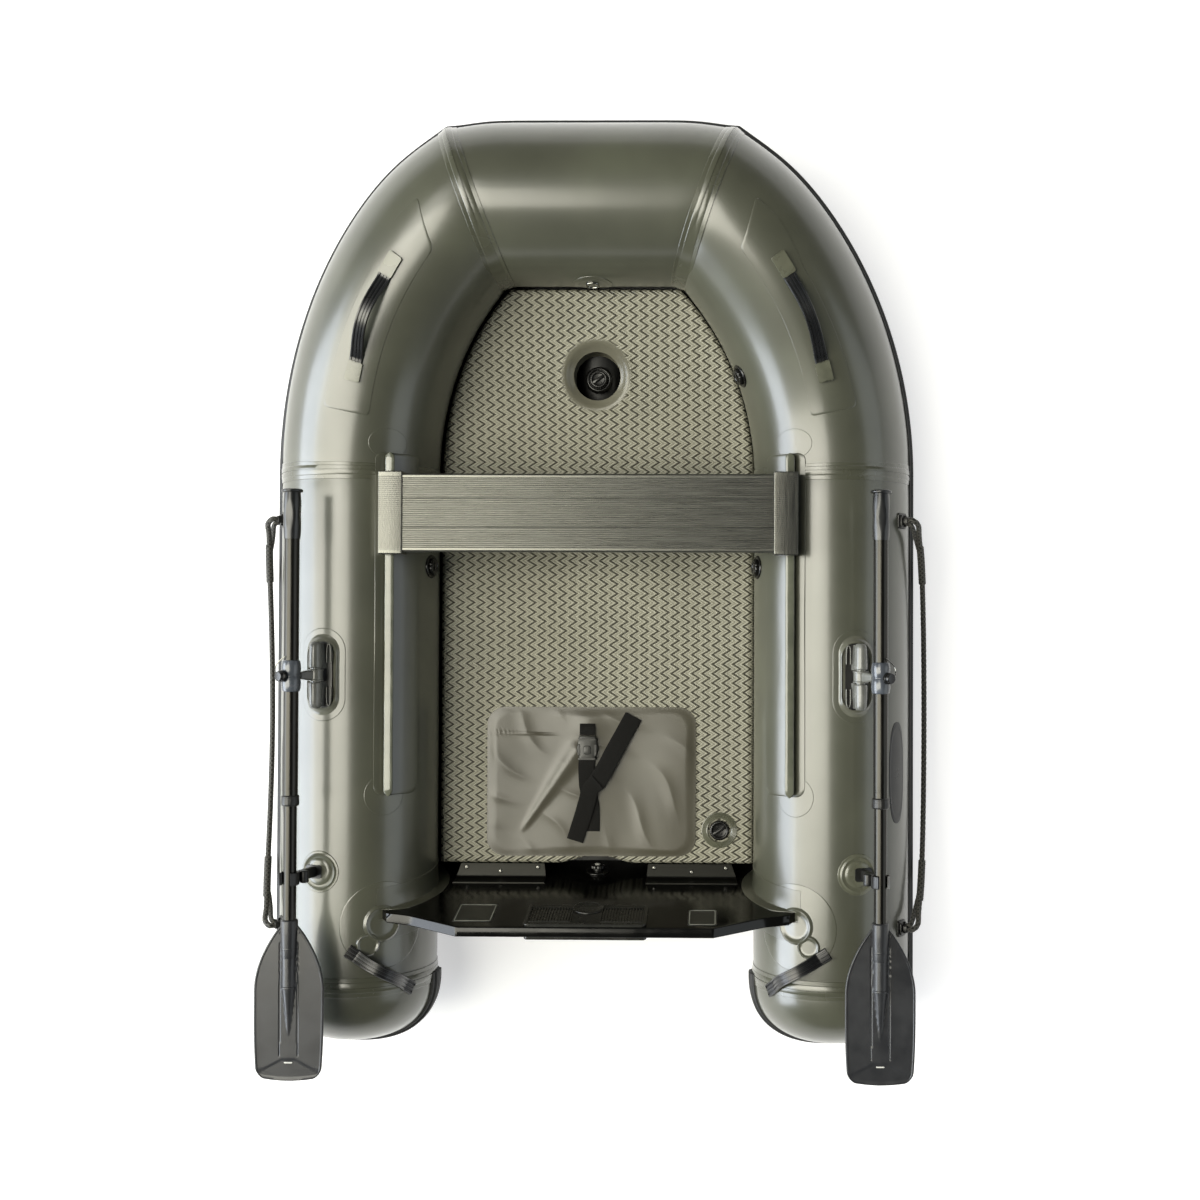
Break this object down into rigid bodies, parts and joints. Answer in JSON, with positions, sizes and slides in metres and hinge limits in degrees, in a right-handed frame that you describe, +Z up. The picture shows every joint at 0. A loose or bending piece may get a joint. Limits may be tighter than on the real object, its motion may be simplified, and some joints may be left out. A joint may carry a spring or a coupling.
{
  "type": "inflatable boat",
  "caption": "Small inflatable tender with a raised round bow, blunt cone sterns, air deck, sliding bench seat, raked transom, lifelines, carrying handles and pinned oars with twisting blades.",
  "frame": {"origin": "on the ground under the middle of the hull's length and beam", "axes": "+X to starboard, +Y towards the bow, +Z up"},
  "size_m": [1.475, 2.011, 0.446],
  "materials": {
    "hull_fabric": "satin coated fabric, olive grey",
    "deck_fabric": "embossed coated fabric, olive grey",
    "black_rubber": "matte black",
    "black_plastic": "satin black moulding",
    "grey_plastic": "satin grey moulding",
    "plywood": "black gloss coat on plywood",
    "grey_aluminium": "satin anodised",
    "dark_aluminium": "dark anodised, ribbed",
    "black_aluminium": "black anodised",
    "webbing": "woven black webbing",
    "rope": "braided black rope"
  },
  "bodies": {
    "boat": {"starboard_side_tube": "hull_fabric", "port_side_tube": "hull_fabric", "starboard_quarter_tube": "hull_fabric", "port_quarter_tube": "hull_fabric", "bow_tube": "hull_fabric", "starboard_stern_cone": "hull_fabric", "port_stern_cone": "hull_fabric", "bottom_skin": "black_rubber", "keel_tube": "black_rubber", "air_deck": "deck_fabric", "deck_valve": "black_plastic", "keel_valve": "black_plastic", "starboard_chamber_valve": "black_plastic", "port_chamber_valve": "black_plastic", "bow_chamber_valve": "black_plastic", "tank_patch": "hull_fabric", "tank_strap": "webbing", "rub_strake": "black_rubber", "transom_board": "plywood", "motor_pad_outer": "black_plastic", "motor_pad_inner": "black_plastic", "starboard_floor_bracket": "grey_aluminium", "port_floor_bracket": "grey_aluminium", "drain_socket": "black_plastic", "starboard_seat_rail": "grey_plastic", "port_seat_rail": "grey_plastic", "starboard_oarlock_base": "black_plastic", "port_oarlock_base": "black_plastic", "starboard_oar_clip": "black_plastic", "port_oar_clip": "black_plastic", "starboard_bow_handle": "black_rubber", "port_bow_handle": "black_rubber", "starboard_stern_handle": "black_rubber", "port_stern_handle": "black_rubber", "starboard_fore_rope_tab": "webbing", "port_fore_rope_tab": "webbing", "starboard_aft_rope_tab": "webbing", "port_aft_rope_tab": "webbing", "starboard_lifeline": "rope", "port_lifeline": "rope"},
    "starboard_swivel": {"starboard_oarlock_axle": "black_plastic", "starboard_pin_cap": "grey_plastic"},
    "port_swivel": {"port_oarlock_axle": "black_plastic", "port_pin_cap": "grey_plastic"},
    "starboard_upper_oar": {"starboard_oar_grip": "black_rubber", "starboard_oar_upper_shaft": "black_aluminium", "starboard_oar_sleeve": "black_plastic"},
    "port_upper_oar": {"port_oar_grip": "black_rubber", "port_oar_upper_shaft": "black_aluminium", "port_oar_sleeve": "black_plastic"},
    "starboard_lower_oar": {"starboard_oar_lower_shaft": "black_aluminium", "starboard_oar_blade": "black_plastic"},
    "port_lower_oar": {"port_oar_lower_shaft": "black_aluminium", "port_oar_blade": "black_plastic"},
    "seat": {"seat_plank": "dark_aluminium", "starboard_seat_slider": "black_plastic", "port_seat_slider": "black_plastic"},
    "plug": {"drain_plug": "grey_plastic"},
    "deck_cap": {"deck_valve_cap": "black_plastic"},
    "keel_cap": {"keel_valve_cap": "black_plastic"}
  },
  "joints": [
    {"name": "starboard_oar_swivel", "type": "hinge", "parent": "boat", "child": "starboard_swivel", "pos_m": [0.56598, -0.176, 0.363], "axis": [0, -1, 0], "range_deg": [0, 35], "deforming": ["starboard_oar_clip"]},
    {"name": "port_oar_swivel", "type": "hinge", "parent": "boat", "child": "port_swivel", "pos_m": [-0.56598, -0.176, 0.363], "axis": [0, 1, 0], "range_deg": [0, 35], "deforming": ["port_oar_clip"]},
    {"name": "starboard_oar_swing", "type": "hinge", "parent": "starboard_swivel", "child": "starboard_upper_oar", "pos_m": [0.60183, -0.176, 0.4142], "axis": [0.5736, 0, 0.8191], "range_deg": [-10, 100], "deforming": ["starboard_oar_clip"]},
    {"name": "port_oar_swing", "type": "hinge", "parent": "port_swivel", "child": "port_upper_oar", "pos_m": [-0.60183, -0.176, 0.4142], "axis": [0.5736, 0, -0.8191], "range_deg": [-10, 100], "deforming": ["port_oar_clip"]},
    {"name": "starboard_blade_twist", "type": "hinge", "parent": "starboard_upper_oar", "child": "starboard_lower_oar", "pos_m": [0.60183, -0.431, 0.4142], "axis": [0, 1, 0], "range_deg": [-90, 90]},
    {"name": "port_blade_twist", "type": "hinge", "parent": "port_upper_oar", "child": "port_lower_oar", "pos_m": [-0.60183, -0.431, 0.4142], "axis": [0, 1, 0], "range_deg": [-90, 90]},
    {"name": "seat_slide", "type": "slide", "parent": "boat", "child": "seat", "axis": [0, 1, 0], "range_m": [-0.5, 0.01]},
    {"name": "drain_plug_pull", "type": "slide", "parent": "boat", "child": "plug", "axis": [0, 1, 0], "range_m": [0, 0.02]},
    {"name": "deck_valve_cap_turn", "type": "hinge", "parent": "boat", "child": "deck_cap", "pos_m": [0.275, -0.528, 0.13], "axis": [0, 0, 1], "range_deg": [0, 90]},
    {"name": "keel_valve_cap_turn", "type": "hinge", "parent": "boat", "child": "keel_cap", "pos_m": [0, 0.483, 0.09], "axis": [0, 0, 1], "range_deg": [0, 90]}
  ]
}
